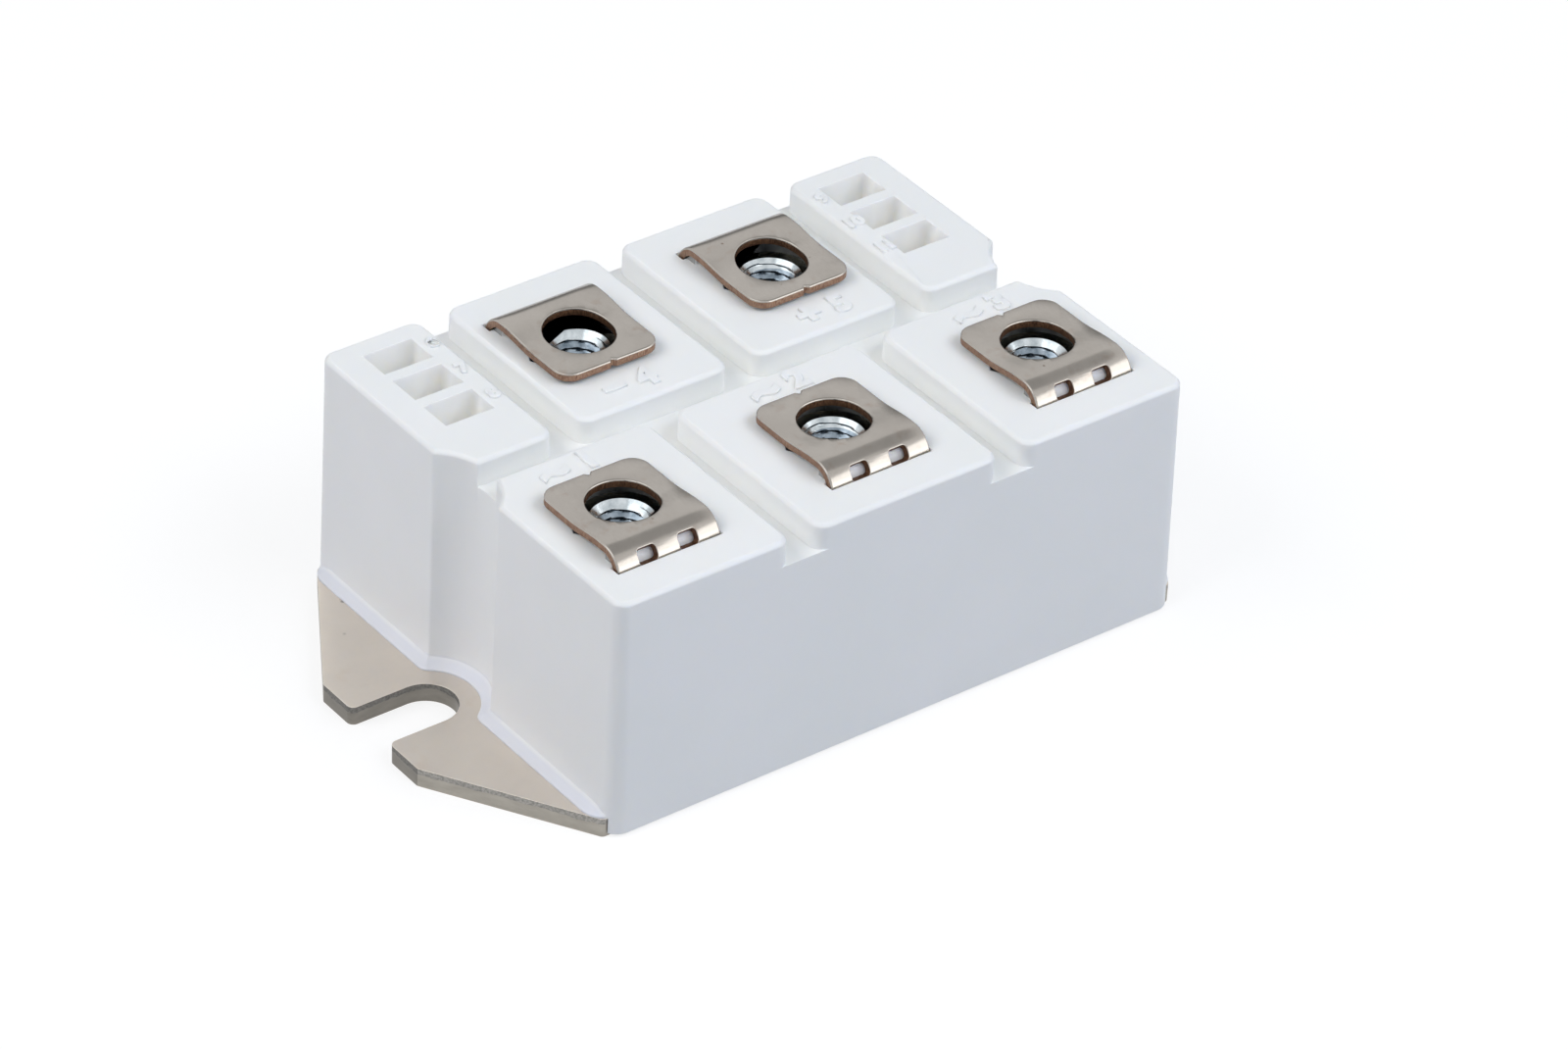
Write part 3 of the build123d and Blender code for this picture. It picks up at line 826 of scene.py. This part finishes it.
def terminal_nickel():
    """Bright nickel on rolled strip: faint rolling lines, warm stains, and a highlight painted
    lighter low on the roll.
    """
    material, shader, place, tree = new_material("terminal_nickel", (0.42, 0.39, 0.36), 1.0, 0.28)
    clouds = between(tree, noise(tree, place, 5, 5), 0.35, 0.65)
    colour = blended(tree, clouds, (0.4, 0.373, 0.342), (0.438, 0.41, 0.377))
    stains = between(tree, noise(tree, place, 1.6, 6), 0.58, 0.75, 0.0, 0.35)
    colour = blended(tree, stains, colour, (0.34, 0.25, 0.2))
    colour = blended(tree, speckles(tree, place, 1.3, 0.2), colour, (0.24, 0.19, 0.16))
    # Low on the roll's outer side the colour is painted lighter, as a highlight.
    sideways = calculated(tree, "ABSOLUTE", axis(tree, place, "Y"))
    painted_roll_highlight = between(tree, sideways, (leg_line + 0.05) * mm, (leg_line + 0.35) * mm)
    colour = blended(tree, painted_roll_highlight, colour, (0.6, 0.56, 0.51))
    tree.links.new(colour, shader.inputs["Base Color"])
    rolling = noise(tree, place, 0.25, 3, (1, 3, 1))
    tree.links.new(between(tree, rolling, 0.3, 0.7, 0.2, 0.27), shader.inputs["Roughness"])
    roughened(tree, shader, rolling, 0.0008)
    return material


def cut_copper(name, dark, light):
    """Bare copper where the punch cut, brown with age, streaked through the strip's thickness."""
    material, shader, place, tree = new_material(name, light, 1.0, 0.5)
    streaks = noise(tree, place, 0.14, 4, (1, 1, 4))
    colour = blended(tree, between(tree, streaks, 0.3, 0.7), dark, light)
    tree.links.new(colour, shader.inputs["Base Color"])
    roughened(tree, shader, streaks, 0.03)
    return material


def rolled_terminal(name, x, side, lower_route, leg_shift, finishes):
    """One terminal: its blank is punched, its rims are eased, and it is bent along its route."""
    corners = [(free_end, flat_level), (swan_start, flat_level), (swan_end, crest_level)]
    corners += [(leg_line, crest_level), *lower_route]
    radii = [swan_radius, swan_radius, roll_radius] + [leg_radius] * (len(lower_route) - 1)
    stretches = bend_route(corners, radii)
    lengths = [length for *_, length in stretches]
    roll_start = sum(lengths[:5])
    roll_end = roll_start + lengths[5]
    shoulder = roll_end + (crest_level - roll_radius - shoulder_level)
    sheet = terminal_blank(sum(lengths), shoulder, leg_shift, roll_start)
    for face in sheet.faces:
        if abs(face.normal.z) < 0.5:
            middle = face.calc_center_median()
            in_opening = abs(middle.x) < opening_half and 1.5 < middle.y < shoulder - 0.3
            face.material_index = 2 if in_opening else 1
    ease_rims(sheet, roll_start, roll_end)
    bend(sheet, stretches, side)
    bmesh.ops.translate(sheet, verts=sheet.verts, vec=(x * mm, 0, 0))
    bmesh.ops.recalc_face_normals(sheet, faces=sheet.faces)
    mesh = bpy.data.meshes.new(name)
    sheet.to_mesh(mesh)
    sheet.free()
    mesh.shade_smooth()
    mesh.set_sharp_from_angle(angle=radians(30))
    for finish in finishes:
        mesh.materials.append(finish)
    terminal = bpy.data.objects.new(name, mesh)
    collection.objects.link(terminal)
    return terminal


cut_finish = cut_copper("cut_copper", (0.2, 0.11, 0.075), (0.42, 0.28, 0.2))
# The hole's copper is the same cut copper painted darker, as shade in the hole and the windows.
shaded_hole_finish = cut_copper("hole_copper_painted_shade", (0.1, 0.05, 0.03), (0.3, 0.16, 0.09))
finishes = (terminal_nickel(), cut_finish, shaded_hole_finish)
near_route = [(leg_line, knee_top), (knee_line, knee_foot)]
near_route += [(knee_line, track_level), (knee_line - track_reach, track_level)]
far_route = [(leg_line, knee_foot), (far_line, knee_foot)]
far_route += [(far_line, track_level), (far_line - track_reach, track_level)]
terminals = {
    "ac_1": (-26.2, -1, near_route, 0.0),
    "ac_2": (0.0, -1, near_route, 0.0),
    "ac_3": (26.2, -1, near_route, 0.0),
    "minus": (-12.3, 1, far_route, rear_leg_shift),
    "plus": (12.3, 1, near_route, rear_leg_shift),
}
for name, layout in terminals.items():
    terminal = rolled_terminal(f"rolled_terminal_{name}", *layout, finishes)
    finish_piece(terminal, "terminal_nickel", f"terminal_{name}")


# Studio
# A white sweep, clear from below, that keeps only the module's soft shadow, a large soft box on
# each side, a cool even surround, and cards for the metal to reflect. The camera looks down on the
# front left corner from about three quarters of a metre.
floor_half = 3.0
floor_level = -0.02 * mm
floor_grey = (0.3, 0.3, 0.3, 1)
card_top = 0.5
dim_below = 0.28
horizon_light = (0.1, 0.17, 0.4)
ceiling_light = (0.27, 0.3, 0.31)


def seen_directly(tree):
    """1 for rays from the camera and for those that metal and glass send on."""
    rays = tree.nodes.new("ShaderNodeLightPath")
    most = rays.outputs["Is Camera Ray"]
    for other in ("Is Glossy Ray", "Is Transmission Ray"):
        most = calculated(tree, "MAXIMUM", most, rays.outputs[other])
    return most


def either_shader(tree, share, first, second):
    """The first shader where the share is 0, and the second where it is 1."""
    mix = tree.nodes.new("ShaderNodeMixShader")
    for socket, source in zip(mix.inputs, (share, first, second)):
        tree.links.new(source, socket)
    return mix.outputs["Shader"]


def flat_sheet(name, corners, material):
    """One flat face with a material."""
    mesh = bpy.data.meshes.new(name)
    mesh.from_pydata(corners, [], [(0, 1, 2, 3)])
    mesh.materials.append(material)
    sheet = bpy.data.objects.new(name, mesh)
    collection.objects.link(sheet)
    return sheet


def white_sweep():
    """A floor that looks white, lights the module softly, and can't be seen from below."""
    material = bpy.data.materials.new("white_sweep")
    material.use_nodes = True
    tree = material.node_tree
    shader = tree.nodes["Principled BSDF"]
    shader.inputs["Base Color"].default_value = floor_grey
    shader.inputs["Emission Color"].default_value = (1, 1, 1, 1)
    shader.inputs["Emission Strength"].default_value = 0.17
    shader.inputs["Roughness"].default_value = 0.9
    shader.inputs["Specular IOR Level"].default_value = 0.0
    shadowed = tree.nodes.new("ShaderNodeBsdfDiffuse")
    shadowed.inputs["Color"].default_value = floor_grey
    glow = tree.nodes.new("ShaderNodeEmission")
    glow.inputs["Strength"].default_value = 0.75
    lifted = tree.nodes.new("ShaderNodeAddShader")
    tree.links.new(shadowed.outputs["BSDF"], lifted.inputs[0])
    tree.links.new(glow.outputs["Emission"], lifted.inputs[1])
    looks, lights = lifted.outputs["Shader"], shader.outputs["BSDF"]
    above = either_shader(tree, seen_directly(tree), lights, looks)
    underneath = tree.nodes.new("ShaderNodeNewGeometry").outputs["Backfacing"]
    clear = tree.nodes.new("ShaderNodeBsdfTransparent").outputs["BSDF"]
    whole = either_shader(tree, underneath, above, clear)
    tree.links.new(whole, tree.nodes["Material Output"].inputs["Surface"])
    return material


def soft_box(name, place, power, colour):
    """A broad lamp that faces the module and isn't seen in its metal."""
    light = bpy.data.lights.new(name, "AREA")
    light.shape = "RECTANGLE"
    light.size, light.size_y = 0.9, 0.45
    light.energy = power
    light.color = colour
    lamp = bpy.data.objects.new(name, light)
    lamp.location = place
    toward = Vector((0, 0, 0.015)) - Vector(place)
    lamp.rotation_euler = toward.to_track_quat("-Z", "Y").to_euler()
    lamp.visible_glossy = False
    collection.objects.link(lamp)


def standing(first, second):
    """Corners of an upright card on a line between two points of the floor."""
    return [(*first, 0), (*second, 0), (*second, card_top), (*first, card_top)]


def reflected_card(name, corners, low_strength, strength):
    """A glowing card that only shiny surfaces see; a graded one is dimmer toward its foot."""
    paint = bpy.data.materials.new(name)
    paint.use_nodes = True
    tree = paint.node_tree
    tree.nodes.remove(tree.nodes["Principled BSDF"])
    glow = tree.nodes.new("ShaderNodeEmission")
    level = axis(tree, tree.nodes.new("ShaderNodeTexCoord").outputs["Object"], "Z")
    graded = between(tree, level, dim_below, card_top, low_strength, strength)
    tree.links.new(graded, glow.inputs["Strength"])
    tree.links.new(glow.outputs["Emission"], tree.nodes["Material Output"].inputs["Surface"])
    card = flat_sheet(name, corners, paint)
    for rays in ("camera", "diffuse", "shadow", "transmission"):
        setattr(card, f"visible_{rays}", False)


turns = ((-1, -1), (1, -1), (1, 1), (-1, 1))
floor_corners = [(x * floor_half, y * floor_half, floor_level) for x, y in turns]
floor = flat_sheet("studio_floor", floor_corners, white_sweep())

world = bpy.data.worlds.new("studio")
bpy.context.scene.world = world
world.use_nodes = True
tree = world.node_tree
surround = tree.nodes["Background"]
height = axis(tree, tree.nodes.new("ShaderNodeTexCoord").outputs["Generated"], "Z")
rise = between(tree, height, 0.0, 0.55)
tree.links.new(blended(tree, rise, horizon_light, ceiling_light), surround.inputs["Color"])
backdrop = tree.nodes.new("ShaderNodeBackground")
backdrop.inputs["Color"].default_value = (1, 1, 1, 1)
backdrop.inputs["Strength"].default_value = 1.0
lights, looks = surround.outputs["Background"], backdrop.outputs["Background"]
whole = either_shader(tree, seen_directly(tree), lights, looks)
tree.links.new(whole, tree.nodes["World Output"].inputs["Surface"])

soft_box("left_box", (-0.62, 0.15, 0.64), 4.3, (1.0, 0.965, 0.96))
soft_box("right_box", (0.35, -0.5, 0.65), 4.5, (0.89, 0.92, 1.0))
far_side = standing((-0.085, 1.343), (1.327, 0.225))
front_side = standing((-0.01, -0.83), (0.75, -0.355))
roof = [(-0.1, -0.5, 1.2), (1.0, -0.5, 1.2), (1.0, 0.7, 1.2), (-0.1, 0.7, 1.2)]
left_side = [(-0.55, -0.3, 0.4), (-0.65, 0.6, 0.4), (-0.55, 0.5, 0.85), (-0.45, -0.25, 0.85)]
reflected_card("far_card", far_side, 0.22, 1.0)
reflected_card("roof_card", roof, 0.55, 0.55)
reflected_card("front_card", front_side, 2.6, 2.6)
reflected_card("left_card", left_side, 2.0, 2.0)

camera_data = bpy.data.cameras.new("camera")
camera_data.sensor_width = 36.0
camera_data.lens = 158.378
camera = bpy.data.objects.new("camera", camera_data)
right = Vector((0.80111892, -0.5971321, 0.04051832))
up = Vector((0.31793559, 0.48194813, 0.81648206))
back = Vector((-0.50707537, -0.64121702, 0.57594731))
turned = Matrix((right, up, back)).transposed().to_4x4()
camera.matrix_world = Matrix.Translation((-0.36032668, -0.46193362, 0.42181194)) @ turned
collection.objects.link(camera)
bpy.context.scene.camera = camera
bpy.context.scene.view_settings.view_transform = "Standard"

bpy.context.view_layer.update()
